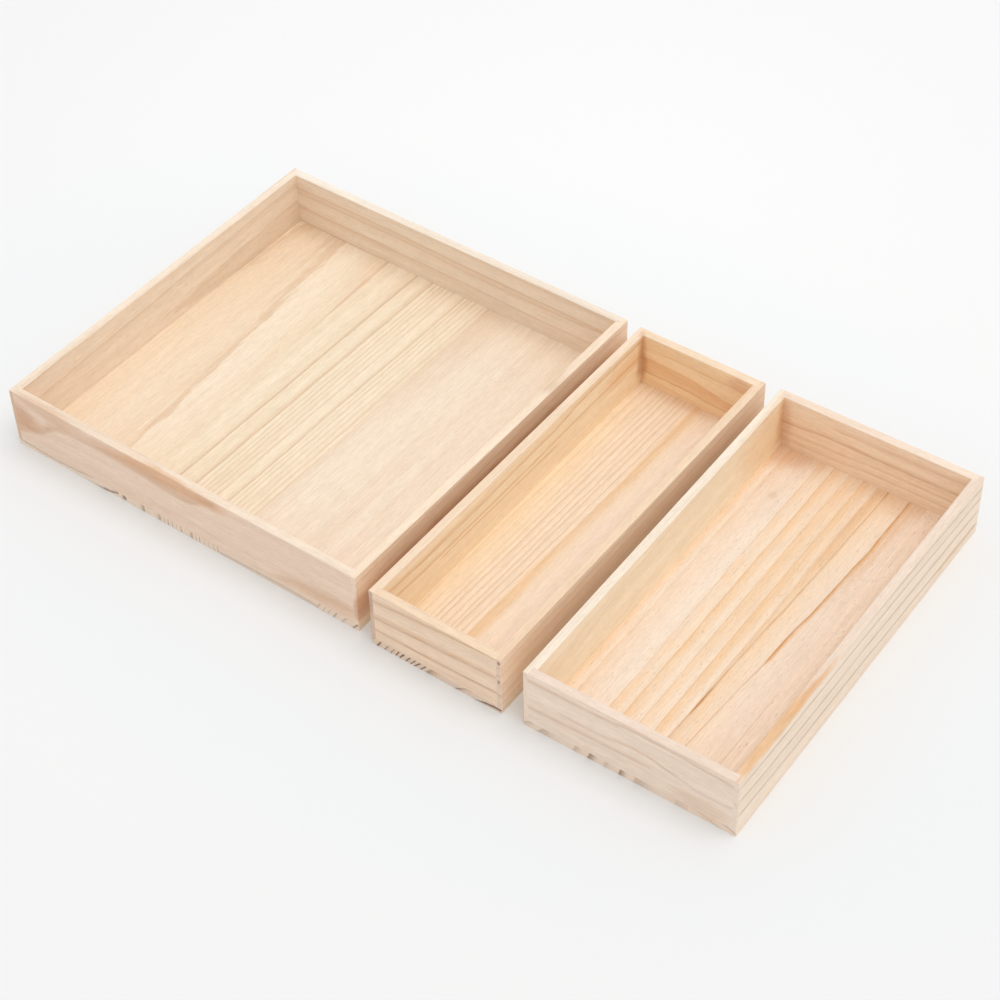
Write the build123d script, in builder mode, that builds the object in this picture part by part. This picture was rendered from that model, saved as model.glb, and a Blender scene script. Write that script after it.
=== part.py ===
import os
from math import atan, cos, degrees, radians, sin

from build123d import *

# A set of three open pine trays standing in a row: large, narrow and medium.
# Sizes are in millimetres. +X runs along the row, +Y from front to back, +Z is up.

# Boards, the same in every tray
tray_height = 49.0
wall_thickness = 6.4
bottom_thickness = 5.8
rabbet_depth = 3.2
eased_edge = 0.6

# Outer size of each tray, and the widths of the staves at the left and right of its bottom
# One more stave, between the left and the right ones, takes the width that is left.
large_width = 300.0
large_length = 300.0
large_left_staves = [93.0]
large_right_staves = [82.0, 35.0]

narrow_width = 101.0
narrow_length = 302.0
narrow_left_staves = []
narrow_right_staves = []

medium_width = 151.0
medium_length = 302.0
medium_left_staves = []
medium_right_staves = [33.0]

# How the trays stand in the row
# A gap lies between two trays' front edges. A setback is how far back a tray's front left
# corner stands from the front of the large tray. An angle is how far a tray is turned
# leftwards, in degrees.
narrow_gap = 12.9
narrow_setback = -2.8
narrow_angle = 0.37
medium_gap = 15.5
medium_setback = -0.6
medium_angle = 1.23

# Brads with T heads, driven up through the bottom into the middle of each wall
# A side wall's row keeps the end margin. Along the front and back, each stave has its own.
brad_length = 15.0
brad_width = 1.25
brad_gauge = 1.0
brad_head_width = 2.0
brad_head_thickness = 0.9
brad_point_length = 1.6
brad_tip = 0.3
brad_recess = 0.4
brad_spacing = 85.0
brad_end_margin = 24.0

low_corner = (Align.MIN, Align.MIN)
wall_height = tray_height - bottom_thickness
lip_thickness = wall_thickness - rabbet_depth


def tray_plane(corner_x, corner_y, angle):
    """Plane at a tray's front left bottom corner, with x along its front."""
    heading = radians(angle)
    front = (cos(heading), sin(heading), 0)
    return Plane(origin=(corner_x, corner_y, 0), x_dir=front, z_dir=(0, 0, 1))


def outline_points(plane, width, length):
    """The four corners of a tray on the ground."""
    outline = [(0, 0), (width, 0), (width, length), (0, length)]
    return [plane.from_local_coords(Vector(x, y, 0)) for x, y in outline]


def side_row(wall_length):
    """Distances of the brads along a side wall, from its end."""
    run = wall_length - 2 * brad_end_margin
    steps = max(1, round(run / brad_spacing))
    return [brad_end_margin + run * step / steps for step in range(steps + 1)]


def front_row(stave_widths):
    """Distances of the brads along the front, evenly spaced over the end of each stave."""
    row = []
    start = 0.0
    for stave_width in stave_widths:
        count = max(1, round(stave_width / brad_spacing))
        row += [start + stave_width * (number + 0.5) / count for number in range(count)]
        start += stave_width
    return row


def brad_outlines(plane, width, length, stave_widths, across):
    """Section through every brad of a tray: a row along the middle of each wall."""
    half_wall = wall_thickness / 2
    with BuildSketch(plane) as outlines:
        for x in (half_wall, width - half_wall):
            with Locations(*[(x, y) for y in side_row(length)]):
                Rectangle(brad_gauge, across)
        for y in (half_wall, length - half_wall):
            with Locations(*[(x, y) for x in front_row(stave_widths)]):
                Rectangle(across, brad_gauge)
    return outlines.sketch


def brad_group(plane, width, length, stave_widths, head_start):
    """All brads of a tray, with heads that start at the given height."""
    head_top = brad_recess + brad_head_thickness
    shank_top = brad_recess + brad_length - brad_point_length
    point_taper = degrees(atan((brad_gauge - brad_tip) / 2 / brad_point_length))
    with BuildPart() as group:
        add(brad_outlines(plane.offset(head_start), width, length, stave_widths, brad_head_width))
        extrude(amount=head_top - head_start)
        add(brad_outlines(plane.offset(head_top), width, length, stave_widths, brad_width))
        extrude(amount=shank_top - head_top)
        add(brad_outlines(plane.offset(shank_top), width, length, stave_widths, brad_width))
        extrude(amount=brad_point_length, taper=point_taper)
    return group.part


def glued_frame(plane, width, length):
    """The four walls as they stand once glued, with their edges eased by sanding."""
    with BuildPart() as frame:
        with BuildSketch(plane.offset(bottom_thickness)):
            Rectangle(width, length, align=low_corner)
        extrude(amount=wall_height)
        upright_corners = frame.edges().filter_by(Axis.Z)
        outer_rim = frame.faces().sort_by(Axis.Z)[-1].edges()
        fillet(upright_corners + outer_rim, eased_edge)
        with BuildSketch(plane.offset(bottom_thickness)):
            with Locations((wall_thickness, wall_thickness)):
                Rectangle(width - 2 * wall_thickness, length - 2 * wall_thickness, align=low_corner)
        extrude(amount=wall_height, mode=Mode.SUBTRACT)
        inner_rim = frame.edges(Select.LAST).group_by(Axis.Z)[-1]
        fillet(inner_rim, eased_edge)
    return frame.part


def glued_bottom(plane, width, length):
    """The bottom once its staves are glued, with its outer edges eased."""
    with BuildPart() as bottom:
        with BuildSketch(plane):
            Rectangle(width, length, align=low_corner)
        extrude(amount=bottom_thickness)
        upright_corners = bottom.edges().filter_by(Axis.Z)
        lower_rim = bottom.faces().sort_by(Axis.Z)[0].edges()
        fillet(upright_corners + lower_rim, eased_edge)
    return bottom.part


def make_walls(plane, width, length, frame, brad_holes):
    """Left, right, front and back walls, jointed at the corners by rabbets."""
    centre = plane.from_local_coords(Vector(width / 2, length / 2, 0))

    # A side wall runs the full length and has a rabbet across the inside of each end
    with BuildPart() as left_wall:
        add(frame)
        with BuildSketch(plane.offset(bottom_thickness)):
            Rectangle(wall_thickness, length, align=low_corner)
            with Locations((lip_thickness, 0), (lip_thickness, length - wall_thickness)):
                Rectangle(rabbet_depth, wall_thickness, align=low_corner, mode=Mode.SUBTRACT)
        extrude(amount=wall_height, mode=Mode.INTERSECT)
        add(brad_holes, mode=Mode.SUBTRACT)

    with BuildPart() as right_wall:
        mirror(left_wall.part, about=Plane(origin=centre, z_dir=plane.x_dir))

    # The front wall's ends seat in the rabbets, between the lips of the side walls
    with BuildPart() as front_wall:
        add(frame)
        with BuildSketch(plane.offset(bottom_thickness)):
            with Locations((lip_thickness, 0)):
                Rectangle(width - 2 * lip_thickness, wall_thickness, align=low_corner)
        extrude(amount=wall_height, mode=Mode.INTERSECT)
        add(brad_holes, mode=Mode.SUBTRACT)

    with BuildPart() as back_wall:
        mirror(front_wall.part, about=Plane(origin=centre, z_dir=plane.y_dir))

    return {
        "left_wall": left_wall.part,
        "right_wall": right_wall.part,
        "front_wall": front_wall.part,
        "back_wall": back_wall.part,
    }


def make_staves(plane, length, stave_widths, bottom, brad_holes):
    """The bottom's staves, numbered from left to right and edge-glued at their seams."""
    staves = {}
    start = 0.0
    for number, stave_width in enumerate(stave_widths, 1):
        with BuildPart() as stave:
            add(bottom)
            with BuildSketch(plane):
                with Locations((start, 0)):
                    Rectangle(stave_width, length, align=low_corner)
            extrude(amount=bottom_thickness, mode=Mode.INTERSECT)
            add(brad_holes, mode=Mode.SUBTRACT)
        staves[f"stave_{number}"] = stave.part
        start += stave_width
    return staves


def make_tray(plane, width, length, left_staves, right_staves):
    """One tray's walls, staves and brads, by the name of each piece."""
    middle_stave = width - sum(left_staves) - sum(right_staves)
    stave_widths = left_staves + [middle_stave] + right_staves
    frame = glued_frame(plane, width, length)
    bottom = glued_bottom(plane, width, length)
    brad_holes = brad_group(plane, width, length, stave_widths, 0)
    pieces = make_walls(plane, width, length, frame, brad_holes)
    pieces.update(make_staves(plane, length, stave_widths, bottom, brad_holes))
    pieces["brads"] = brad_group(plane, width, length, stave_widths, brad_recess)
    return pieces


# Each tray in the row: its size, its staves, and where its front left corner stands
# The row is laid out from the large tray's front left corner.
narrow_start = large_width + narrow_gap
medium_start = narrow_start + narrow_width + medium_gap
sizes = {
    "large": (large_width, large_length),
    "narrow": (narrow_width, narrow_length),
    "medium": (medium_width, medium_length),
}
end_staves = {
    "large": (large_left_staves, large_right_staves),
    "narrow": (narrow_left_staves, narrow_right_staves),
    "medium": (medium_left_staves, medium_right_staves),
}
places = {
    "large": (0.0, 0.0, 0.0),
    "narrow": (narrow_start, narrow_setback, narrow_angle),
    "medium": (medium_start, medium_setback, medium_angle),
}

# The origin is under the middle of the whole row
corners = []
for tray, place in places.items():
    corners += outline_points(tray_plane(*place), *sizes[tray])
middle_x = (min(point.X for point in corners) + max(point.X for point in corners)) / 2
middle_y = (min(point.Y for point in corners) + max(point.Y for point in corners)) / 2

os.makedirs("parts", exist_ok=True)
for tray, (corner_x, corner_y, angle) in places.items():
    plane = tray_plane(corner_x - middle_x, corner_y - middle_y, angle)
    for piece, solid in make_tray(plane, *sizes[tray], *end_staves[tray]).items():
        solid.label = f"{tray}_{piece}"
        export_step(solid, f"parts/{solid.label}.step")
        print(solid.label, round(solid.volume, 1), "mm3")
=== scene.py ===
import math

import bpy
from mathutils import Matrix, Vector


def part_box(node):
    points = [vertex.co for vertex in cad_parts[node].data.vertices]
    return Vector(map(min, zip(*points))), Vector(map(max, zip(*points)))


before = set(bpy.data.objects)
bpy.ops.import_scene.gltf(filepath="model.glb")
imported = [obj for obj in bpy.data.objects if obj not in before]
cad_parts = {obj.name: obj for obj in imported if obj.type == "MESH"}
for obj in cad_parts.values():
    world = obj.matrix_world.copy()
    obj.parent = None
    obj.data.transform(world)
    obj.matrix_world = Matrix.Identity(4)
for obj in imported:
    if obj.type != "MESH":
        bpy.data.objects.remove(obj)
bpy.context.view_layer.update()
millimetre = 0.001  # the frame is in metres, wood is described here in millimetres
smooth = {"interpolation_type": "SMOOTHSTEP"}  # for a Map Range that eases in and out


def hexColour(text):  # sRGB hex to linear RGBA
    parts = [int(text[place:place + 2], 16) / 255 for place in (1, 3, 5)]
    linear = [part / 12.92 if part <= 0.04045 else ((part + 0.055) / 1.055) ** 2.4 for part in parts]
    return (*linear, 1.0)


# Inputs are a list in the node's order, or a dictionary by name or number. Each one is a value or
# another node's output, which is linked
def addNode(tree, kind, inputs=(), **settings):
    node = tree.nodes.new(kind)
    for name, value in settings.items():
        setattr(node, name, value)
    for name, value in inputs.items() if isinstance(inputs, dict) else enumerate(inputs):
        if isinstance(value, bpy.types.NodeSocket):
            tree.links.new(value, node.inputs[name])
        else:
            node.inputs[name].default_value = value
    return node.outputs


def newMaterial(name):
    material = bpy.data.materials.new(name)
    material.use_nodes = True
    material.node_tree.nodes.clear()
    return material, material.node_tree


def startGroup(name, inputs, outputs):
    tree = bpy.data.node_groups.new(name, "ShaderNodeTree")
    for title, kind in inputs.items():
        tree.interface.new_socket(title, in_out="INPUT", socket_type="NodeSocket" + kind)
    for title, kind in outputs.items():
        tree.interface.new_socket(title, in_out="OUTPUT", socket_type="NodeSocket" + kind)
    return tree, addNode(tree, "NodeGroupInput")


def layTones(tree, colour, tones):  # each tone covers the colour by the product of its shares
    for tone, share, *others in tones:
        for other in others:
            share = addNode(tree, "ShaderNodeMath", [share, other], operation="MULTIPLY")[0]
        colour = addNode(tree, "ShaderNodeMix", {0: share, 6: colour, 7: tone}, data_type="RGBA")[2]
    return colour


def grainNoise(tree, vector, length, width, detail, roughness):  # stretched along the grain
    scale = (1 / length, 1 / width, 1 / width)
    scaled = addNode(tree, "ShaderNodeVectorMath", [vector, scale], operation="MULTIPLY")[0]
    return addNode(tree, "ShaderNodeTexNoise",
                   {"Vector": scaled, "Scale": 1.0, "Detail": detail, "Roughness": roughness})


def grainStray(tree, vector, size, amount):  # a vector that strays to all sides, stretched too
    noise = grainNoise(tree, vector, *size)["Color"]
    centred = addNode(tree, "ShaderNodeVectorMath", [noise, (0.5, 0.5, 0.5)], operation="SUBTRACT")[0]
    return addNode(tree, "ShaderNodeVectorMath", {0: centred, "Scale": amount}, operation="SCALE")[0]


# Growth rings of a softwood, shared by every board
# Place is measured in mm from the pith, with X along it. Early wood is pale and wide. Late wood
# is darker and ends in a sharp line. A board's surface cuts both into the lines of the grain.
growth = {
    # Each noise as its length and width in mm, detail and roughness
    "wander": (190.0, 38.0, 2.0, 0.5),  # slow straying of the lines
    "ripple": (34.0, 6.0, 2.0, 0.6),  # small unevenness of each line
    "fibres": (24.0, 1.0, 3.0, 0.6),  # streaks of a few fibres, wider than real ones so that they show
    "fuzz": (5.0, 0.9, 2.0, 0.6),  # fibre ends left by sanding, drawn as coarse
    "mottle": (15.0, 4.5, 2.0, 0.6),  # cloudy light and shade where fibres dip below the surface
    "bands": (260.0, 6.0, 2.0, 0.5),  # broad bands along the board
    "canals": (5.0, 0.5, 1.0, 0.5),  # resin canals cut lengthwise show as short dark dashes
    "cells": (0.7, 0.7, 1.0, 0.5),  # cell texture on the end grain, coarser than real cells
    "usualNoise": (0.3, 0.7),  # nearly all of a noise lies between these
    "boardStep": (917.0, 331.0, 563.0),  # mm from one board's part of the noises to the next one's
    "yearStep": 7.3,  # so that no two boards have the same row of strong and faint years
    "rippleEnds": (0.2, 0.8),  # noise values that give the two ends of the size below
    "rippleSize": (-0.45, 0.45),  # mm
    "fibreShade": (-0.055, 0.045),  # how far these darken and lighten the wood
    "fuzzShade": (-0.05, 0.04),
    "mottleShade": (-0.03, 0.025),
    "shadePowers": (1.15, 1.4),  # shade is a little stronger in green and blue than in red
    "mottleOnLate": (0.55, 1.3),  # how far mottle thins and strengthens late wood
    "fibreRelief": 0.4,  # how much each of them stands up
    "fuzzRelief": 0.5,
    "bandEdges": (0.36, 0.68),  # noise values where bands and canals begin and are full
    "canalEdges": (0.67, 0.76),
    "cellTones": ("#EBE0D6", "#FFFDFA"),
    "cellShare": 0.7,  # how strongly cells show on the end grain
    "faintestYear": 0.65,  # late wood differs from year to year
    "latePeak": 0.92,  # shares of a ring: where late wood is darkest, and where it ends
    "lateEnd": (0.95, 1.0),
    "lineRise": (0.84, 0.93),  # where its sharp line begins and is full
    "endPale": 0.8,  # share of its own pale tone on the end grain
    "endNarrow": 3.0,  # a higher power makes the dark marks on the end grain thinner
    "edgeCore": 0.3,  # share of a vein's sharp side that is fully dark
}


def makePithDistance(values):  # distance from the pith, with a slow wander of the lines
    tree, given = startGroup("pithDistance", {"Place": "Vector", "Wander": "Float", "Seed": "Float"},
                             {"Distance": "Float", "Ripple": "Float", "Own Place": "Vector"})
    step = addNode(tree, "ShaderNodeVectorMath", {0: values["boardStep"], "Scale": given["Seed"]},
                   operation="SCALE")[0]
    ownPlace = addNode(tree, "ShaderNodeVectorMath", [given["Place"], step], operation="ADD")[0]
    stray = grainStray(tree, ownPlace, values["wander"], given["Wander"])
    strayed = addNode(tree, "ShaderNodeVectorMath", [given["Place"], stray], operation="ADD")[0]
    across = addNode(tree, "ShaderNodeVectorMath", [strayed, (0.0, 1.0, 1.0)], operation="MULTIPLY")[0]
    distance = addNode(tree, "ShaderNodeVectorMath", [across], operation="LENGTH")["Value"]
    ripple = grainNoise(tree, ownPlace, *values["ripple"])[0]
    ripple = addNode(tree, "ShaderNodeMapRange", [ripple, *values["rippleEnds"], *values["rippleSize"]])[0]
    distance = addNode(tree, "ShaderNodeMath", [distance, ripple], operation="ADD")[0]
    addNode(tree, "NodeGroupOutput", {"Distance": distance, "Ripple": ripple, "Own Place": ownPlace})
    return tree


def makeTexture(values):  # what fibres and cells do to any wood colour
    tree, given = startGroup(
        "woodTexture", {"Own Place": "Vector", "End": "Float", "Canals": "Float"},
        {"Shade": "Color", "Canal Marks": "Float", "Mottle": "Float", "Relief": "Float"})
    fibres, fuzz, mottle, canals, cells = [
        grainNoise(tree, given["Own Place"], *values[name])[0]
        for name in ("fibres", "fuzz", "mottle", "canals", "cells")]
    side = addNode(tree, "ShaderNodeMath", [1.0, given["End"]], operation="SUBTRACT")[0]
    canalMarks = addNode(tree, "ShaderNodeMapRange", [canals, *values["canalEdges"]], **smooth)[0]
    for factor in (given["Canals"], side):
        canalMarks = addNode(tree, "ShaderNodeMath", [canalMarks, factor], operation="MULTIPLY")[0]

    # Streaks, fuzz and mottle shade the sides, and cells the end grain
    usual, level = values["usualNoise"], 0.0
    for noise, shade in ((fibres, "fibreShade"), (fuzz, "fuzzShade"), (mottle, "mottleShade")):
        change = addNode(tree, "ShaderNodeMapRange", [noise, *usual, *values[shade]])[0]
        level = addNode(tree, "ShaderNodeMath", [level, change], operation="ADD")[0]
    level = addNode(tree, "ShaderNodeMath", [level, side], operation="MULTIPLY")[0]
    level = addNode(tree, "ShaderNodeMath", [level, 1.0], operation="ADD")[0]
    green, blue = [addNode(tree, "ShaderNodeMath", [level, power], operation="POWER")[0]
                   for power in values["shadePowers"]]
    shade = addNode(tree, "ShaderNodeCombineColor", [level, green, blue])[0]
    darker, paler = [hexColour(tone) for tone in values["cellTones"]]
    cellLight = addNode(tree, "ShaderNodeMapRange", [cells, *usual], **smooth)[0]
    cellTone = layTones(tree, darker, [(paler, cellLight)])
    shade = layTones(tree, shade, [(cellTone, given["End"], values["cellShare"])])

    relief = addNode(tree, "ShaderNodeMath", [fibres, values["fibreRelief"]], operation="MULTIPLY")[0]
    relief = addNode(tree, "ShaderNodeMath", [fuzz, values["fuzzRelief"], relief],
                     operation="MULTIPLY_ADD")[0]
    relief = addNode(tree, "ShaderNodeMath", [relief, canalMarks], operation="SUBTRACT")[0]
    onLate = addNode(tree, "ShaderNodeMapRange", [mottle, *usual, *values["mottleOnLate"]])[0]
    addNode(tree, "NodeGroupOutput",
            {"Shade": shade, "Canal Marks": canalMarks, "Mottle": onLate, "Relief": relief})
    return tree


def makeGrownRings(values):  # colour from the ring that a point lies in
    tree, given = startGroup(
        "grownRings",
        {"Rings": "Float", "Own Place": "Vector", "End": "Float", "Mottle": "Float", "Late Start": "Float",
         "Late Strength": "Float", "Line Strength": "Float", "End Strength": "Float", "Bands": "Float",
         "Seed": "Float", "Early": "Color", "Late": "Color", "Line": "Color", "End Early": "Color",
         "End Late": "Color"},
        {"Colour": "Color", "Late": "Float"})
    side = addNode(tree, "ShaderNodeMath", [1.0, given["End"]], operation="SUBTRACT")[0]
    number = addNode(tree, "ShaderNodeMath", [given["Rings"]], operation="FLOOR")[0]
    within = addNode(tree, "ShaderNodeMath", [given["Rings"]], operation="FRACT")[0]
    yearSeed = addNode(tree, "ShaderNodeMath", [given["Seed"], values["yearStep"], number],
                       operation="MULTIPLY_ADD")[0]
    year = addNode(tree, "ShaderNodeTexWhiteNoise", {"W": yearSeed}, noise_dimensions="1D")["Value"]
    yearly = addNode(tree, "ShaderNodeMapRange", [year, 0.0, 1.0, values["faintestYear"], 1.0])[0]
    late = addNode(tree, "ShaderNodeMapRange", [within, given["Late Start"], values["latePeak"]],
                   **smooth)[0]
    line = addNode(tree, "ShaderNodeMapRange", [within, *values["lineRise"]], **smooth)[0]
    fall = addNode(tree, "ShaderNodeMapRange", [within, *values["lateEnd"], 1.0, 0.0], **smooth)[0]
    for factor in (fall, yearly):
        late = addNode(tree, "ShaderNodeMath", [late, factor], operation="MULTIPLY")[0]
        line = addNode(tree, "ShaderNodeMath", [line, factor], operation="MULTIPLY")[0]

    # Late wood is soft in colour along the board and dark across the end grain
    bands = grainNoise(tree, given["Own Place"], *values["bands"])[0]
    bands = addNode(tree, "ShaderNodeMapRange", [bands, *values["bandEdges"]], **smooth)[0]
    dense = addNode(tree, "ShaderNodeMath", [late, values["endNarrow"]], operation="POWER")[0]
    ringed = layTones(tree, given["Early"], [
        (given["Late"], bands, given["Bands"]),
        (given["End Early"], given["End"], values["endPale"]),
        (given["Late"], late, given["Late Strength"], side, given["Mottle"]),
        (given["Line"], line, given["Line Strength"], side),
        (given["End Late"], dense, given["End Strength"], given["End"])])
    addNode(tree, "NodeGroupOutput", {"Colour": ringed, "Late": late})
    return tree


def makeVein(values):  # one broad line of resin-rich wood, soft on one side and sharp on the other
    tree, given = startGroup(
        "vein",
        {"Off": "Float", "Width": "Float", "Edge": "Float", "Body": "Float", "Line": "Float",
         "Share": "Float", "Colour": "Color", "Body Tone": "Color", "Line Tone": "Color"},
        {"Colour": "Color"})
    far = addNode(tree, "ShaderNodeMath", [given["Width"], -1.0], operation="MULTIPLY")[0]
    soft = addNode(tree, "ShaderNodeMapRange", [given["Off"], far, 0.0], **smooth)[0]
    sharp = addNode(tree, "ShaderNodeMapRange", [given["Off"], 0.0, given["Edge"], 1.0, 0.0], **smooth)[0]
    beside = addNode(tree, "ShaderNodeMath", [given["Off"]], operation="ABSOLUTE")[0]
    core = addNode(tree, "ShaderNodeMath", [given["Edge"], values["edgeCore"]], operation="MULTIPLY")[0]
    line = addNode(tree, "ShaderNodeMapRange", [beside, core, given["Edge"], 1.0, 0.0], **smooth)[0]
    veined = layTones(tree, given["Colour"], [
        (given["Body Tone"], soft, sharp, given["Body"], given["Share"]),
        (given["Line Tone"], line, given["Line"], given["Share"])])
    addNode(tree, "NodeGroupOutput", {"Colour": veined})
    return tree


pithDistance = makePithDistance(growth)
woodTexture = makeTexture(growth)
grownRings = makeGrownRings(growth)
grownVein = makeVein(growth)
print("growth rings ready")


# Sanded pine: satin early wood, slightly glossier and harder late wood, no varnish
# IOR 1.5 for wood fibre, roughness 0.5 to 0.7 for a board sanded with fine grit
sandedPine = {
    "ior": 1.5,
    "roughness": (0.68, 0.52),  # of early and of late wood
    "bump": 0.3,
    "bumpDepth": 0.05,  # mm
    "lateRelief": 0.4,  # late wood stands a little proud after sanding
    "canalTone": "#B88F68",
    "rimHeight": (47.9, 48.7),  # mm above the table where a wall's tone turns into its rim's
    "endTurn": (0.55, 0.9),  # how squarely a face cuts the grain, from side to end grain
    "stainAndShadeOutline": (30.0, 9.0, 2.0, 0.5),  # ragged, as length and width in mm, detail, roughness
    "stainAndShadeRagged": 0.7,  # how far that outline strays, as a share of a patch's half size
    "stainAndShadeCore": 0.35,  # share of its size where a patch, of stain and of painted shade alike, has its full strength
    "veinFade": 12.0,  # mm over which a vein begins and ends
    "veinOffRim": 0.9,  # share of a vein that the top edge hides
}

# What a board has where its own values don't say otherwise
usualBoard = {
    "reversed": False, "lateStart": 0.4, "bands": 0.15, "canals": 0.25,
    "endEarly": "#F8E5D4", "endLate": "#84604C", "endStrength": 0.7,
    "edge": 0.55, "veins": [], "patches": [],
}


def trayMatrix(tray, turn):  # from a tray's own mm to the frame's metres
    lowest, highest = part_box(tray + "_left_wall")
    angle = math.radians(turn)
    corner = Vector((lowest.x + (highest.y - lowest.y) * math.tan(angle), lowest.y, 0.0))
    return Matrix.Translation(corner) @ Matrix.Rotation(angle, 4, "Z") @ Matrix.Scale(millimetre, 4)


def pithMatrix(crosswise, values):  # from mm along and around the pith to the tray's mm
    (sideways, height), (sideSlope, heightSlope) = values["pith"], values["slope"]
    if crosswise:
        point = Vector((0.0, sideways, height))
        along = Vector((1.0, sideSlope, heightSlope)).normalized()
    else:
        point = Vector((sideways, 0.0, height))
        along = Vector((sideSlope, 1.0, heightSlope)).normalized()
    upward = (Vector((0, 0, 1)) - along * along.z).normalized()
    turned = Matrix((along, upward.cross(along), upward)).transposed().to_4x4()
    return Matrix.Translation(point) @ turned, along


def likeMatrix(vector, matrix):  # what makes a Mapping node do as the matrix does
    return {"Vector": vector, "Location": matrix.to_translation(), "Rotation": matrix.to_euler("XYZ"),
            "Scale": matrix.to_scale()}


def curveThrough(tree, value, points, handles):  # a line through points, each a value and its result
    first, last = points[0][0], points[-1][0]
    results = [result for _, result in points]
    low, span = min(results), max(max(results) - min(results), 0.001)
    share = addNode(tree, "ShaderNodeMapRange", [value, first, last])[0]
    height = addNode(tree, "ShaderNodeFloatCurve", {"Value": share})[0]
    drawn = height.node.mapping
    while len(drawn.curves[0].points) < len(points):
        drawn.curves[0].points.new(0.5, 0.5)
    for point, (valueThere, result) in zip(drawn.curves[0].points, points):
        point.location = ((valueThere - first) / (last - first), (result - low) / span)
        point.handle_type = handles
    drawn.update()
    return addNode(tree, "ShaderNodeMath", [height, span, low], operation="MULTIPLY_ADD")[0]


def addVein(tree, colour, along, across, share, vein, values):
    points, width, body, line = vein
    start, end, fade = points[0][0], points[-1][0], sandedPine["veinFade"]
    course = curveThrough(tree, along, points, "AUTO_CLAMPED")
    off = addNode(tree, "ShaderNodeMath", [across, course], operation="SUBTRACT")[0]
    # Below or left of the line is the sharp side, unless the width is negative
    sharpSide = -1.0 if width > 0 else 1.0
    off = addNode(tree, "ShaderNodeMath", [off, sharpSide], operation="MULTIPLY")[0]
    fadeIn = addNode(tree, "ShaderNodeMapRange", [along, start, start + fade], **smooth)[0]
    fadeOut = addNode(tree, "ShaderNodeMapRange", [along, end - fade, end, 1.0, 0.0], **smooth)[0]
    faded = addNode(tree, "ShaderNodeMath", [fadeIn, fadeOut], operation="MULTIPLY")[0]
    share = addNode(tree, "ShaderNodeMath", [faded, share], operation="MULTIPLY")[0]
    return addNode(tree, "ShaderNodeGroup", {
        "Off": off, "Width": float(abs(width)), "Edge": values["edge"], "Body": body, "Line": line,
        "Share": share, "Colour": colour, "Body Tone": hexColour(values.get("bodyTone", values["late"])),
        "Line Tone": hexColour(values.get("veinTone", values["lineTone"]))}, node_tree=grownVein)["Colour"]


# Soft patches of tone: stains, and painted shade in corners and in a gap
def addPatch(tree, colour, trayPlace, ragged, patch):
    centre, halfSize, tone, strength = patch
    reach = trayPlace
    for operation, other in (("SUBTRACT", centre), ("DIVIDE", halfSize), ("ADD", ragged)):
        reach = addNode(tree, "ShaderNodeVectorMath", [reach, other], operation=operation)[0]
    reach = addNode(tree, "ShaderNodeVectorMath", [reach], operation="LENGTH")["Value"]
    share = addNode(tree, "ShaderNodeMapRange", [reach, sandedPine["stainAndShadeCore"], 1.0, strength, 0.0],
                    **smooth)[0]
    return layTones(tree, colour, [(hexColour(tone), share)])


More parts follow.
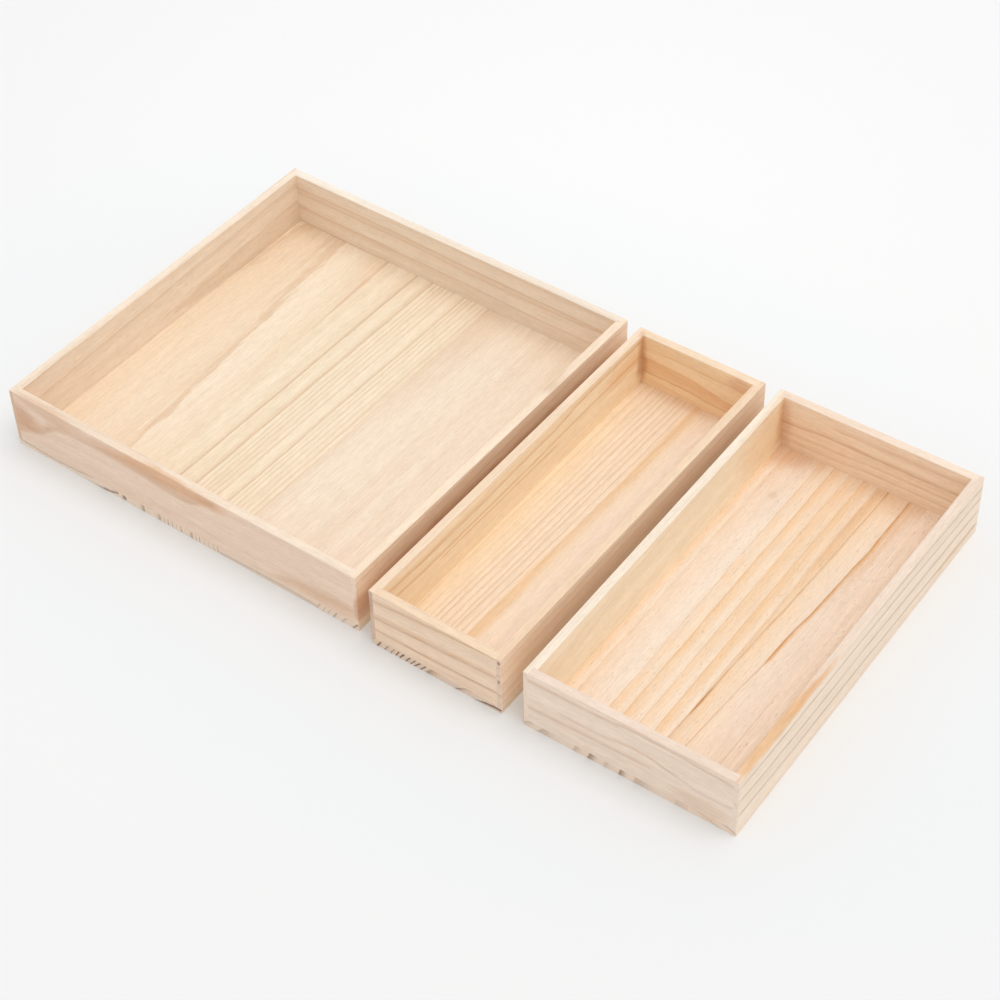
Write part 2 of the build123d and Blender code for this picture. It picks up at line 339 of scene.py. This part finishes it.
def boardMaterial(tray, turn, board, ownValues, seed):
    values = {**usualBoard, **ownValues}
    material, tree = newMaterial(f"sandedPine_{tray}_{board}")
    crosswise = board in ("front_wall", "back_wall")
    toMetres = trayMatrix(tray, turn)
    fromPith, along = pithMatrix(crosswise, values)
    coordinates = addNode(tree, "ShaderNodeTexCoord")
    trayPlace = addNode(tree, "ShaderNodeMapping",
                        likeMatrix(coordinates["Object"], toMetres.inverted()))["Vector"]
    pithPlace = addNode(tree, "ShaderNodeMapping", likeMatrix(trayPlace, fromPith.inverted()))["Vector"]
    parts = addNode(tree, "ShaderNodeSeparateXYZ", [trayPlace])

    rings = addNode(tree, "ShaderNodeGroup",
                    {"Place": pithPlace, "Wander": values["wander"], "Seed": seed}, node_tree=pithDistance)
    years = [(distance, number) for number, distance in enumerate(values["years"])]
    count = curveThrough(tree, rings["Distance"], years, "VECTOR")
    if values["reversed"]:
        count = addNode(tree, "ShaderNodeMath", [count, -1.0], operation="MULTIPLY")[0]
    grainAxis = (toMetres.to_3x3() @ along).normalized()
    facing = addNode(tree, "ShaderNodeVectorMath", [coordinates["Normal"], grainAxis],
                     operation="DOT_PRODUCT")["Value"]
    facing = addNode(tree, "ShaderNodeMath", [facing], operation="ABSOLUTE")[0]
    endGrain = addNode(tree, "ShaderNodeMapRange", [facing, *sandedPine["endTurn"]], **smooth)[0]
    side = addNode(tree, "ShaderNodeMath", [1.0, endGrain], operation="SUBTRACT")[0]
    texture = addNode(tree, "ShaderNodeGroup",
                      {"Own Place": rings["Own Place"], "End": endGrain, "Canals": values["canals"]},
                      node_tree=woodTexture)

    early = hexColour(values["early"])
    veinShare = addNode(tree, "ShaderNodeMath", [texture["Mottle"], side], operation="MULTIPLY")[0]
    if "rim" in values:
        top = addNode(tree, "ShaderNodeMapRange", [parts["Z"], *sandedPine["rimHeight"]], **smooth)[0]
        early = layTones(tree, early, [(hexColour(values["rim"]), top)])
        offRim = addNode(tree, "ShaderNodeMath", [top, -sandedPine["veinOffRim"], 1.0],
                         operation="MULTIPLY_ADD")[0]
        veinShare = addNode(tree, "ShaderNodeMath", [veinShare, offRim], operation="MULTIPLY")[0]
    wood = addNode(tree, "ShaderNodeGroup", {
        "Rings": count, "Own Place": rings["Own Place"], "End": endGrain, "Mottle": texture["Mottle"],
        "Late Start": values["lateStart"], "Late Strength": values["strength"],
        "Line Strength": values["line"], "End Strength": values["endStrength"],
        "Bands": values["bands"], "Seed": seed, "Early": early, "Late": hexColour(values["late"]),
        "Line": hexColour(values["lineTone"]), "End Early": hexColour(values["endEarly"]),
        "End Late": hexColour(values["endLate"])}, node_tree=grownRings)
    colour = wood["Colour"]

    ragged = grainStray(tree, rings["Own Place"], sandedPine["stainAndShadeOutline"], sandedPine["stainAndShadeRagged"])
    for patch in values["patches"]:
        colour = addPatch(tree, colour, trayPlace, ragged, patch)
    lengthwise = parts["X"] if crosswise else parts["Y"]
    across = parts["X"] if board.startswith("stave") else parts["Z"]
    across = addNode(tree, "ShaderNodeMath", [across, rings["Ripple"]], operation="ADD")[0]
    for vein in values["veins"]:
        colour = addVein(tree, colour, lengthwise, across, veinShare, vein, values)
    colour = addNode(tree, "ShaderNodeMix", {0: 1.0, 6: colour, 7: texture["Shade"]},
                     data_type="RGBA", blend_type="MULTIPLY")[2]
    colour = layTones(tree, colour, [(hexColour(sandedPine["canalTone"]), texture["Canal Marks"])])

    relief = addNode(tree, "ShaderNodeMath", [wood["Late"], sandedPine["lateRelief"], texture["Relief"]],
                     operation="MULTIPLY_ADD")[0]
    bump = addNode(tree, "ShaderNodeBump", {"Height": relief, "Strength": sandedPine["bump"],
                                            "Distance": sandedPine["bumpDepth"] * millimetre})["Normal"]
    roughness = addNode(tree, "ShaderNodeMapRange", [relief, 0.0, 1.0, *sandedPine["roughness"]])[0]
    shader = addNode(tree, "ShaderNodeBsdfPrincipled", {
        "Base Color": colour, "Roughness": roughness, "IOR": sandedPine["ior"], "Normal": bump})[0]
    addNode(tree, "ShaderNodeOutputMaterial", {"Surface": shader})
    return material


# Bright drawn steel wire, with faint streaks in its gloss: brads
brads = {
    "steel": "#B9B7B2",
    "roughness": (0.24, 0.44),
    "streaks": 2500.0,  # per metre, so about 0.4 mm each
    "streakDetail": 2.0,
}


def bradMaterial(values):
    material, tree = newMaterial("brightDrawnSteelWire")
    place = addNode(tree, "ShaderNodeTexCoord")["Object"]
    drawn = addNode(tree, "ShaderNodeTexNoise",
                    {"Vector": place, "Scale": values["streaks"], "Detail": values["streakDetail"]})[0]
    roughness = addNode(tree, "ShaderNodeMapRange", [drawn, 0.0, 1.0, *values["roughness"]])[0]
    shader = addNode(tree, "ShaderNodeBsdfPrincipled",
                     {"Base Color": hexColour(values["steel"]), "Metallic": 1.0, "Roughness": roughness})[0]
    addNode(tree, "ShaderNodeOutputMaterial", {"Surface": shader})
    return material


# The wood of every tray, in mm from its front left corner. turn: its degrees from straight
# pith: where the pith crosses the board's end, as across and height on staves and side walls, and
#   as depth and height on front and back walls. slope: its drift per mm. wander: how many mm the
#   rings stray from round. reversed: late wood lies on the other side of its lines.
# years: how far from the pith each ring's late wood ends. lateStart: where in a ring it begins.
# early, late, lineTone, rim: tones of early wood, late wood, its sharp end and the top edge.
# strength, line, bands, canals: how dark late wood, its end, broad bands and resin canals are.
# endEarly, endLate, endStrength: tones of the end grain, and how dark its marks are.
# bodyTone, veinTone, edge: tones of the veins, and how many mm wide their sharp side is.
# veins: single lines, as the points they pass through, width, strength of body and of line. A
#   point is a distance along the board and a height, or a place across a stave. A line is sharp
#   below or to the left, or on its other side where its width is negative.
# patches: soft stains, and painted shade in inner corners and in a gap, as centre, half size, tone and
# strength.
largeTray = {"turn": 0.0, "boards": {
    "front_wall": {
        "pith": (-70, 14), "slope": (0.02, 0.03), "wander": 5.0, "years": (52, 61, 71, 80, 88, 99, 110),
        "early": "#F5DAC4", "late": "#D3AE8E", "lineTone": "#C09A7C", "rim": "#F7E3CD",
        "strength": 0.12, "line": 0.05, "bodyTone": "#D6A67E", "edge": 4.0,
        "veins": [
            ([(-5, 11), (25, 24), (50, 37), (80, 38.5), (110, 38), (150, 35), (175, 42), (192, 50)],
             13, 0.5, 0.1),
            ([(225, 8), (262, 15), (305, 17)], -9, 0.3, 0.1),
        ],
        "patches": [
            ((3, 0, 28), (28, 8, 17), "#CB946A", 0.65), ((34, 0, 47), (40, 6, 12), "#D6A981", 0.45),
            ((138, 0, 44), (74, 6, 8), "#DDA066", 0.6), ((272, 0, 14), (46, 7, 11), "#DFB48E", 0.35),
        ],
    },
    "back_wall": {
        "pith": (340, -30), "slope": (0.0, -0.01), "wander": 4.0, "years": (34, 44, 53, 60, 70, 83, 95),
        "early": "#F5E4D0", "late": "#D6B28C", "lineTone": "#B98D67", "rim": "#FEF3E4",
        "strength": 0.3, "line": 0.2,
        "veins": [
            ([(-5, 33), (90, 33), (200, 30), (305, 34)], 3, 0.3, 0.15),
        ],
    },
    "left_wall": {
        "pith": (-40, 10), "slope": (0.01, 0.02), "wander": 1.2, "years": (30, 38, 45, 51, 60, 69),
        "early": "#F6E4CF", "late": "#D8B48E", "lineTone": "#C9A27C", "rim": "#F9E7D2",
        "strength": 0.25, "line": 0.2, "endEarly": "#E0BB9A", "endStrength": 0.35,
    },
    "right_wall": {
        "pith": (297, -60), "slope": (0.0, 0.03), "wander": 3.0,
        "years": (64, 72, 79, 88, 96, 103, 112, 120),
        "early": "#FFE3C8", "late": "#D59C74", "lineTone": "#A87A52", "rim": "#FBE6CC",
        "strength": 0.15, "line": 0.2, "endStrength": 0.1,
        "patches": [
            # Painted shade: this patch darkens the outer face of the wall, in the gap beside the narrow
            # tray
            ((300, 150, 21), (6, 400, 17), "#D29A72", 0.7),
        ],
    },
    "stave_1": {
        "pith": (30, 250), "slope": (0.0, 0.01), "wander": 1.0, "years": (236, 242, 248, 255, 263),
        "early": "#F8E6CD", "late": "#E6C096", "lineTone": "#C4925F",
        "strength": 0.35, "line": 0.3, "lateStart": 0.2, "endLate": "#6E4C3C", "endStrength": 0.8,
    },
    "stave_2": {
        "pith": (98, 3), "slope": (0.01, 0.0), "wander": 1.6,
        "years": (0, 2.4, 19, 33, 36.5, 40, 43.5, 47.5, 51.5, 61.5, 64.5, 68, 72, 76, 80, 84, 90),
        "early": "#F7E5CA", "late": "#D9B286", "lineTone": "#BC9368",
        "strength": 0.35, "line": 0.35, "lateStart": 0.5, "endStrength": 0.75,
        "patches": [
            ((98, 0, 3.2), (2.4, 6, 2.4), "#7E5B4A", 0.8),
        ],
    },
    "stave_3": {
        "pith": (232, -700), "slope": (0.0, -0.006), "wander": 0.8, "years": (690, 704.4, 710, 717, 726),
        "early": "#F5E3CD", "late": "#DDB68C", "lineTone": "#B98D63",
        "strength": 0.4, "line": 0.3, "lateStart": 0.5, "endLate": "#77543F", "endStrength": 0.85,
    },
    "stave_4": {
        "pith": (354, -40), "slope": (0.0, 0.0), "wander": 1.6,
        "years": (54, 60, 66, 72.2, 79.6, 85.6, 89.9, 93.5, 97.9, 103),
        "early": "#F6E3CA", "late": "#DCB488", "lineTone": "#BC9368",
        "strength": 0.35, "line": 0.3, "lateStart": 0.5, "endStrength": 1.0,
    },
}}
narrowTray = {"turn": 0.37, "boards": {
    "front_wall": {
        "pith": (3, -40), "slope": (0.0, 0.045), "wander": 3.0, "years": (36, 46, 55, 66.5, 70, 81.5, 90),
        "early": "#F8DCC1", "late": "#D2AE8A", "lineTone": "#A87F5A", "rim": "#F6DBBD",
        "strength": 0.12, "line": 0.08, "bodyTone": "#DDAE80", "edge": 1.7,
        "veins": [
            ([(-5, 41), (4, 41.5), (40, 44.6), (90, 48), (106, 48.5)], 3.6, 0.6, 0.2),
            ([(-5, 26), (5, 26.5), (98, 31), (106, 31.4)], 6, 0.5, 0.2),
            ([(-5, 15.3), (45, 15.6), (98, 17.6), (106, 18)], 1.6, 0.5, 0.2),
        ],
    },
    "back_wall": {
        "pith": (305, -50), "slope": (0.0, -0.075), "wander": 2.0, "years": (30, 45, 65, 79, 100),
        "early": "#FFE4BD", "late": "#D9965A", "lineTone": "#B57B45", "rim": "#F8DFC2",
        "strength": 0.1, "line": 0.0, "bands": 0.1, "bodyTone": "#DF9F61", "edge": 1.2,
        "veins": [
            ([(-8, 17), (45, 16.6), (60, 14.3), (108, 13)], 16, 0.32, 0.25),
            ([(-8, 29.6), (40, 28.6), (60, 25), (78, 22), (108, 20)], -14, 0.32, 0.1),
            ([(-8, 39), (50, 38.4), (108, 36)], 3.0, 0.25, 0.05),
        ],
        "patches": [
            # Painted shade: the first patch darkens the inner back left corner
            ((6, 296, 27), (6, 6, 30), "#B77B45", 0.5), ((84, 296, 42), (14, 8, 8), "#DDA284", 0.4),
        ],
    },
    "left_wall": {
        "pith": (-60, 20), "slope": (0.02, 0.0), "wander": 3.0, "years": (44, 52, 60, 69, 77),
        "early": "#FFEBCB", "late": "#E0BA8A", "lineTone": "#CF9C62", "rim": "#F8DFC4",
        "strength": 0.15, "line": 0.05, "endEarly": "#D7B8A8", "endStrength": 0.45,
        "bodyTone": "#DBA365", "edge": 1.1,
        "veins": [
            ([(-5, 40), (100, 38), (160, 39.5), (190, 39.7), (225, 43.5), (260, 43.7), (307, 44)],
             4.5, 0.42, 0.15),
            ([(-5, 30.5), (100, 29), (165, 29.4), (205, 30.3), (290, 31), (307, 31.3)], 3.5, 0.4, 0.12),
            ([(60, 25.5), (140, 24.8), (200, 24.6)], 2.2, 0.4, 0.15),
        ],
        "patches": [
            # Painted shade: the second patch darkens the inner back left corner
            ((6, 274, 34), (6, 36, 12), "#F0BA7C", 0.4), ((6, 296, 27), (6, 9, 30), "#C78A50", 0.6),
            ((1.4, 0, 36), (1.8, 4, 12), "#B48C7B", 0.5),
        ],
    },
    "right_wall": {
        "pith": (98, -70), "slope": (0.0, 0.02), "wander": 3.0,
        "years": (70, 80, 88, 97, 106, 113, 121, 130),
        "early": "#FFE3C8", "late": "#D59C74", "lineTone": "#A87A52", "rim": "#F6DABB",
        "strength": 0.15, "line": 0.2, "endEarly": "#ECD4C1", "endStrength": 0.3,
        "patches": [
            ((99.8, 0, 46.4), (1.5, 4, 2.4), "#8A6244", 0.8),
            ((99.4, 0, 28.8), (1.5, 4, 2.4), "#7F6C5E", 0.7),
        ],
    },
    "stave_1": {
        "pith": (98.3, -47), "slope": (0.018, 0.0), "wander": 1.0,
        "years": (37, 44, 51.2, 58.3, 74.2, 77, 80.8, 83.2, 86.4, 90.4, 93.4, 96.6, 100.8, 106.2, 111, 116),
        "early": "#FAE6CE", "late": "#E2BF96", "lineTone": "#C8A47A",
        "strength": 0.45, "line": 0.38, "lateStart": 0.35,
        "endEarly": "#E9D3C2", "endLate": "#6F4030", "endStrength": 1.6,
        "patches": [
            ((50.8, 70, 6), (5.6, 120, 9), "#F0C591", 0.55),
            ((53.2, 240, 6), (5.2, 130, 9), "#F0C591", 0.5), ((4, 150, 6), (26, 220, 9), "#F9E0B8", 0.5),
            # The last patch darkens the floor along the foot of the back wall
            ((84, 150, 6), (30, 240, 9), "#F3DDCA", 0.9), ((50, 299, 6), (70, 14, 9), "#DDA977", 0.4),
        ],
    },
}}
mediumTray = {"turn": 1.23, "boards": {
    "front_wall": {
        "pith": (3, -30), "slope": (0.0, -0.015), "wander": 4.0, "years": (40, 49, 58, 74, 84),
        "early": "#F8E3D1", "late": "#D6B69A", "lineTone": "#B08A6A", "rim": "#F2DCCB",
        "strength": 0.12, "line": 0.0, "bodyTone": "#DDB997", "edge": 1.8,
        "veins": [
            ([(-5, 43.3), (30, 43.3), (66, 44.5)], 4.0, 0.45, 0.15),
            ([(60, 43.8), (80, 46.4), (100, 46.4), (130, 44.6), (156, 43)], 3.5, 0.45, 0.12),
            ([(22, 27.3), (45, 27.4), (60, 28.2), (80, 31), (100, 28), (112, 25.6)], 3.0, 0.42, 0.1),
            ([(94, 29.3), (112, 25.6), (130, 22.5), (156, 25.5)], 2.6, 0.2, 0.08),
            ([(-5, 18.3), (30, 19.2), (60, 20.5), (95, 21)], 4.0, 0.45, 0.12),
        ],
        "patches": [
            ((63.5, 0, 44.5), (6, 7, 3), "#D8A996", 0.22), ((128, 0, 12), (30, 7, 8), "#E3C6A9", 0.5),
        ],
    },
    "back_wall": {
        "pith": (310, -40), "slope": (0.0, 0.0), "wander": 2.0, "years": (30, 38, 46, 54, 61, 69, 81, 93),
        "early": "#FEE7CF", "late": "#D9A878", "lineTone": "#B5845A", "rim": "#FBE8D5",
        "strength": 0.12, "line": 0.0, "bodyTone": "#D19E70", "edge": 1.3,
        "veins": [
            ([(40, 39.6), (70, 39.8), (156, 41)], 5.5, 0.28, 0.08),
            ([(-5, 27), (20, 27.8), (46, 29.8), (80, 29.6), (156, 30)], 4.0, 0.4, 0.15),
            ([(-5, 19.4), (50, 20), (85, 22), (156, 21.6)], 3.4, 0.28, 0.06),
            ([(-5, 12.5), (50, 13.2), (80, 14.8), (156, 14.4)], 3.4, 0.28, 0.06),
        ],
        "patches": [
            # Painted shade: the first patch darkens the inner back left corner
            ((7, 297, 27), (9, 8, 30), "#C98E5C", 0.35), ((38, 297, 25), (34, 8, 30), "#F3CFA5", 0.2),
        ],
    },
    "left_wall": {
        "pith": (-50, 20), "slope": (0.01, 0.01), "wander": 3.0, "years": (34, 43, 51, 60, 70),
        "early": "#FFF0D6", "late": "#E3C29B", "lineTone": "#C09A70", "rim": "#FBEDDA",
        "strength": 0.14, "line": 0.05, "endStrength": 0.15,
        "patches": [
            # Painted shade: the second patch darkens the inner back left corner
            ((6, 285, 27), (6, 70, 34), "#F2C58C", 0.4), ((6, 297, 27), (6, 12, 30), "#D69A62", 0.5),
        ],
    },
    "right_wall": {
        "pith": (159, -60), "slope": (0.0, -0.045), "wander": 1.5,
        "years": (50, 64, 76.5, 91, 103.5, 114.5, 127),
        "early": "#FBE7D2", "late": "#CDB297", "lineTone": "#B0967C", "rim": "#F3DECB",
        "strength": 0.12, "line": 0.0, "endEarly": "#F9EADB", "endStrength": 0.15,
        "bodyTone": "#CAAD8F", "edge": 1.0,
        "veins": [
            ([(-5, 43.3), (50, 41), (110, 39.5), (150, 38.5), (200, 36.5), (250, 33.5), (307, 30.6)],
             3.0, 0.68, 0.08),
            ([(-5, 31.4), (50, 28), (100, 26.5), (150, 26), (180, 24.5), (250, 22), (307, 19.5)],
             3.0, 0.68, 0.08),
            ([(-5, 18.3), (50, 15.5), (100, 14.5), (150, 13.5), (180, 12), (250, 9.5), (307, 7.2)],
             3.0, 0.68, 0.08),
            ([(98, 50.5), (112, 49.2), (150, 48.2), (200, 46), (250, 43.5), (307, 40)], 3.0, 0.62, 0.08),
        ],
        "patches": [
            ((147.2, 44, 49.4), (8, 66, 2.6), "#E9B986", 0.85),
            ((149.2, 84, 49.4), (3.2, 36, 2.6), "#E3AD77", 0.75),
            ((151, 270, 8), (6, 44, 6), "#E6C29D", 0.45),
        ],
    },
    "stave_1": {
        "pith": (-8, 22), "slope": (0.0, 0.0), "wander": 1.0, "reversed": True,
        "years": (10, 20, 27, 48.4, 58.2, 69.2, 79.8, 89.3, 118, 140),
        "early": "#F8E5CF", "late": "#F1C38B", "lineTone": "#C4945E",
        "strength": 0.6, "line": 0.22, "lateStart": 0.0, "canals": 0.5,
        "endLate": "#855C46", "endStrength": 0.75,
        "bodyTone": "#DFA564", "veinTone": "#A96B34", "edge": 0.8,
        "veins": [
            ([(-5, 78.9), (60, 81.4), (133, 84), (183, 86.4), (280, 88.9), (307, 89.4)], 2.0, 0.2, 0.25),
            ([(56, 81.3), (92, 82.6)], 1.8, 0.6, 0.6),
            ([(284, 89), (307, 89.4)], 1.6, 0.5, 0.5),
            ([(-5, 90.8), (60, 94), (133, 99.4)], 1.4, 0.15, 0.25),
            ([(116, 97.8), (145, 99.2), (180, 102), (221, 103.8), (246, 105), (307, 105)], 3.6, 0.8, 0.3),
            ([(-5, 116.5), (70, 117.5), (140, 119)], 3.0, 0.1, 0.12),
            ([(-5, 120.5), (80, 121.5), (120, 122)], 2.0, 0.08, 0.1),
        ],
        "patches": [
            ((25, 150, 6), (23, 260, 9), "#F4E6D8", 0.6), ((120, 150, 6), (31, 260, 9), "#F1DAC5", 0.95),
            ((83.5, 243, 6), (6.5, 66, 9), "#E2AE78", 0.36),
            ((70, 210, 6), (17, 170, 9), "#EFC596", 0.35), ((108, 248, 6), (6, 62, 9), "#E3AF7A", 0.35),
            ((27, 250, 6), (4, 5, 9), "#D9B08A", 0.35), ((7, 170, 6), (6, 230, 9), "#F2C58D", 0.2),
            # The two patches on the next line darken the floor along the foot of the back wall
            ((18, 298, 6), (34, 30, 9), "#D9A06C", 0.45), ((104, 298, 6), (44, 26, 9), "#E2B486", 0.4),
        ],
    },
    "stave_2": {
        "pith": (94, -120), "slope": (0.0, 0.0), "wander": 2.0, "years": (110, 117, 123, 129.5, 136, 143),
        "early": "#F9E2CC", "late": "#DDB896", "lineTone": "#BC9A7C",
        "strength": 0.12, "line": 0.1, "canals": 0.7,
        "patches": [
            ((133, 150, 6), (9, 300, 9), "#E3C3A6", 0.45),
        ],
    },
}}


def dress(node, material):
    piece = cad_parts[node]
    piece.data.materials.clear()
    piece.data.materials.append(material)


steelWire = bradMaterial(brads)
seed = 0
for tray, details in {"large": largeTray, "narrow": narrowTray, "medium": mediumTray}.items():
    for board, values in details["boards"].items():
        seed += 1
        dress(f"{tray}_{board}", boardMaterial(tray, details["turn"], board, values, seed))
    dress(f"{tray}_brads", steelWire)
print("boards and brads dressed")


# White studio table and background
studio = {
    "floorTone": "#F7F7F7",
    "paintedFalloffTone": "#F0F0F0",  # painted light falloff: the table's colour darkens a little away from a painted pool of light
    "paintedLightCentre": (-0.1, 0.3, 0.0),
    "paintedLightReach": 0.8,
    "paintedCoolShade": "#FCFEFF",  # painted shade: the paper around the trays is tinted cooler and a little darker, against the warm light their wood sends
    "paintedShadeHalf": (0.4, 0.26, 1.0),
    "paintedShadeFade": (0.9, 1.35),  # as shares of that half size
    "paperRoughness": 0.9,
    "floorSize": 8.0,
    "floorDrop": 0.0001,  # just under the trays, so that the two surfaces don't coincide
    "openReach": 0.0006,  # rays this short come from an underside and pass through the floor
    "light": "#FFFFFF",
    "horizon": 0.725,  # light from the walls and from the ceiling, as a share of white
    "zenith": 0.84,
    "keyStrength": 0.83,
    "keyAngle": 40.0,  # degrees that the key light spans, for soft shadows
    "keyFrom": (1.6, 0.5, 4.8),
    "behind": "#F4F4F5",
}


def makeFloor(values):
    half, height = values["floorSize"] / 2, -values["floorDrop"]
    corners = [(-half, -half, height), (half, -half, height), (half, half, height), (-half, half, height)]
    mesh = bpy.data.meshes.new("studioFloor")
    mesh.from_pydata(corners, [], [(0, 1, 2, 3)])
    floor = bpy.data.objects.new("studioFloor", mesh)
    bpy.context.scene.collection.objects.link(floor)
    material, tree = newMaterial("mattWhitePaper")
    place = addNode(tree, "ShaderNodeTexCoord")["Object"]
    # Painted light: the paper's colour is brightest at a painted pool of light and darker away from it
    away = addNode(tree, "ShaderNodeVectorMath", [place, values["paintedLightCentre"]],
                   operation="DISTANCE")["Value"]
    far = addNode(tree, "ShaderNodeMapRange", [away, 0.0, values["paintedLightReach"]], **smooth)[0]
    tone = layTones(tree, hexColour(values["floorTone"]), [(hexColour(values["paintedFalloffTone"]), far)])
    # Painted shade: around the trays the paper's colour is cooled and dimmed a little, to offset the warm
    # light from their wood
    reach = addNode(tree, "ShaderNodeVectorMath", [place, values["paintedShadeHalf"]], operation="DIVIDE")[0]
    reach = addNode(tree, "ShaderNodeVectorMath", [reach], operation="LENGTH")["Value"]
    near = addNode(tree, "ShaderNodeMapRange", [reach, *values["paintedShadeFade"], 1.0, 0.0], **smooth)[0]
    paintedShadeColour = addNode(tree, "ShaderNodeMix", {0: 1.0, 6: tone, 7: hexColour(values["paintedCoolShade"])},
                     data_type="RGBA", blend_type="MULTIPLY")[2]
    tone = layTones(tree, tone, [(paintedShadeColour, near)])
    paper = addNode(tree, "ShaderNodeBsdfPrincipled",
                    {"Base Color": tone, "Roughness": values["paperRoughness"]})[0]

    # From below the floor is clear, so that the undersides of the trays are seen and lit
    clear = addNode(tree, "ShaderNodeBsdfTransparent")[0]
    below = addNode(tree, "ShaderNodeNewGeometry")["Backfacing"]
    length = addNode(tree, "ShaderNodeLightPath")["Ray Length"]
    close = addNode(tree, "ShaderNodeMath", [length, values["openReach"]], operation="LESS_THAN")[0]
    isClear = addNode(tree, "ShaderNodeMath", [below, close], operation="MAXIMUM")[0]
    oneSided = addNode(tree, "ShaderNodeMixShader", [isClear, paper, clear])[0]
    addNode(tree, "ShaderNodeOutputMaterial", {"Surface": oneSided})
    mesh.materials.append(material)


def makeWorld(values):
    world = bpy.data.worlds.new("softStudio")
    bpy.context.scene.world = world
    world.use_nodes = True
    tree = world.node_tree
    tree.nodes.clear()
    rays = addNode(tree, "ShaderNodeLightPath")
    seen = rays["Is Camera Ray"]
    for kind in ("Is Glossy Ray", "Is Transmission Ray"):
        seen = addNode(tree, "ShaderNodeMath", [seen, rays[kind]], operation="MAXIMUM")[0]
    direction = addNode(tree, "ShaderNodeTexCoord")["Generated"]
    height = addNode(tree, "ShaderNodeSeparateXYZ", [direction])["Z"]
    level = addNode(tree, "ShaderNodeMapRange", [height, 0.0, 1.0, values["horizon"], values["zenith"]])[0]
    lit = addNode(tree, "ShaderNodeBackground", {"Color": hexColour(values["light"]), "Strength": level})[0]
    shown = addNode(tree, "ShaderNodeBackground",
                    {"Color": hexColour(values["behind"]), "Strength": 1.0})[0]
    both = addNode(tree, "ShaderNodeMixShader", [seen, lit, shown])[0]
    addNode(tree, "ShaderNodeOutputWorld", {"Surface": both})


def addKeyLight(values):
    lamp = bpy.data.lights.new("keyLight", "SUN")
    lamp.angle = math.radians(values["keyAngle"])
    lamp.energy = values["keyStrength"]
    holder = bpy.data.objects.new("keyLight", lamp)
    holder.rotation_euler = Vector(values["keyFrom"]).to_track_quat("Z", "Y").to_euler()
    bpy.context.scene.collection.objects.link(holder)


makeFloor(studio)
makeWorld(studio)
addKeyLight(studio)


# Camera, as the photograph was taken
view = {
    "position": (0.7016, -0.8979, 1.1291),
    "heading": 37.647,  # degrees to the left of straight back
    "tilt": 45.018,  # degrees down
    "roll": -1.594,
    "lens": 86.04,
    "sensor": 36.0,
}


def makeCamera(values):
    camera = bpy.data.cameras.new("photoCamera")
    camera.lens = values["lens"]
    camera.sensor_width = values["sensor"]
    holder = bpy.data.objects.new("photoCamera", camera)
    turn = Matrix.Rotation(math.radians(values["heading"]), 4, "Z")
    lean = Matrix.Rotation(math.radians(90 - values["tilt"]), 4, "X")
    roll = Matrix.Rotation(math.radians(values["roll"]), 4, "Z")
    holder.matrix_world = Matrix.Translation(values["position"]) @ turn @ lean @ roll
    bpy.context.scene.collection.objects.link(holder)
    bpy.context.scene.camera = holder


makeCamera(view)
bpy.context.scene.view_settings.view_transform = "Standard"
print("studio and camera set")
